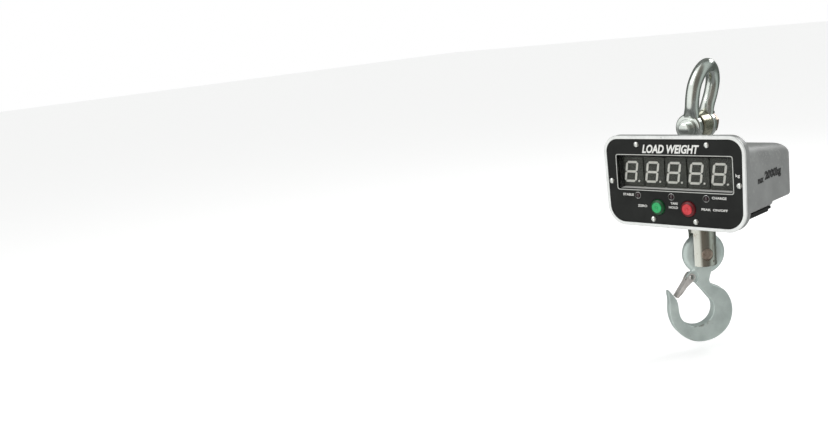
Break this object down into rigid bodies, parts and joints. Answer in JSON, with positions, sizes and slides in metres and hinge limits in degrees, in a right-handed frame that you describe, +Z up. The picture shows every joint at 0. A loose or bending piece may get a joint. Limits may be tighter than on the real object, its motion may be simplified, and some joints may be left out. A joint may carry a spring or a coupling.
{
  "type": "crane scale",
  "caption": "Hanging crane scale: shackle, load cell, grey die-cast case with a digital display and push buttons, swivel fork and safety hook.",
  "frame": {"origin": "inner crown of the shackle bow, where the crane's hook carries the scale", "axes": "+Z up along the load line, the display faces -Y, +X to the reader's right"},
  "size_m": [0.2174, 0.1648, 0.4032],
  "materials": {
    "zinc": "bright zinc plate",
    "hook_zinc": "dull grey-green zinc plate on a forging",
    "steel": "machined steel",
    "case_paint": "grey hammer enamel on die-cast aluminium",
    "bezel": "bright cast rim",
    "panel": "black printed face",
    "lens": "clear smoked acrylic",
    "digits": "unlit seven-segment modules",
    "board": "circuit board",
    "green": "green rubber-booted button",
    "red": "red rubber-booted button",
    "lamp": "unlit red lamp in a pale ring",
    "screw": "bright pan head",
    "rubber": "black rubber",
    "black": "black moulding",
    "battery": "sealed lead-acid battery",
    "brass": "brass ball cage"
  },
  "bodies": {
    "shackle": {"shackle_bow": "zinc", "shackle_bolt": "zinc", "shackle_nut": "zinc", "cotter_pin": "steel"},
    "case": {"load_cell": "steel", "bearing_lower_race": "steel", "bearing_ball_cage": "brass", "bezel_frame": "bezel", "front_panel": "panel", "window_lens": "lens", "display_board": "board", "digit_module_1": "digits", "digit_module_2": "digits", "digit_module_3": "digits", "digit_module_4": "digits", "digit_module_5": "digits", "indicator_lamp_1": "lamp", "indicator_lamp_2": "lamp", "indicator_lamp_3": "lamp", "panel_screw_1": "screw", "panel_screw_2": "screw", "panel_screw_3": "screw", "panel_screw_4": "screw", "panel_screw_5": "screw", "panel_screw_6": "screw", "green_switch": "black", "red_switch": "black", "case_shell": "case_paint", "rear_cover": "case_paint", "rear_screw_1": "steel", "rear_screw_2": "steel", "rear_screw_3": "steel", "rear_screw_4": "steel", "bottom_gasket": "rubber", "bottom_cover": "case_paint", "bottom_screw_1": "steel", "bottom_screw_2": "steel", "bottom_screw_3": "steel", "bottom_screw_4": "steel", "battery": "battery", "main_board": "board", "charging_socket": "black", "top_seal": "rubber", "bottom_seal": "rubber", "cell_bracket": "steel"},
    "green_button": {"green_button": "green"},
    "red_button": {"red_button": "red"},
    "fork": {"swivel_fork": "zinc", "hook_pin": "steel", "pin_grub_screw": "steel", "swivel_nut": "steel", "bearing_upper_race": "steel"},
    "hook": {"hook": "hook_zinc", "latch_rivet": "steel"},
    "latch": {"latch": "steel"}
  },
  "joints": [
    {"name": "case_swing", "type": "hinge", "parent": "shackle", "child": "case", "pos_m": [-0.01774, 0, -0.0739], "axis": [0, 1, 0], "range_deg": [-70, 70]},
    {"name": "fork_swivel", "type": "hinge", "parent": "case", "child": "fork", "pos_m": [-0.01774, 0, -0.2239], "axis": [0, 0, 1], "continuous": true},
    {"name": "hook_swing", "type": "hinge", "parent": "fork", "child": "hook", "pos_m": [-0.01774, 0, -0.2544], "axis": [-0.766, 0.6428, 0], "range_deg": [-40, 40]},
    {"name": "latch_open", "type": "hinge", "parent": "hook", "child": "latch", "pos_m": [-0.03092, -0.0157, -0.2879], "axis": [-0.766, 0.6428, 0], "range_deg": [-38, 0], "stiffness_Nm_per_rad": 0.05, "springref_deg": 20.05},
    {"name": "green_press", "type": "slide", "parent": "case", "child": "green_button", "axis": [0, 1, 0], "range_m": [0, 0.0025], "stiffness_N_per_m": 400, "springref_m": -0.0005},
    {"name": "red_press", "type": "slide", "parent": "case", "child": "red_button", "axis": [0, 1, 0], "range_m": [0, 0.0025], "stiffness_N_per_m": 400, "springref_m": -0.0005}
  ]
}
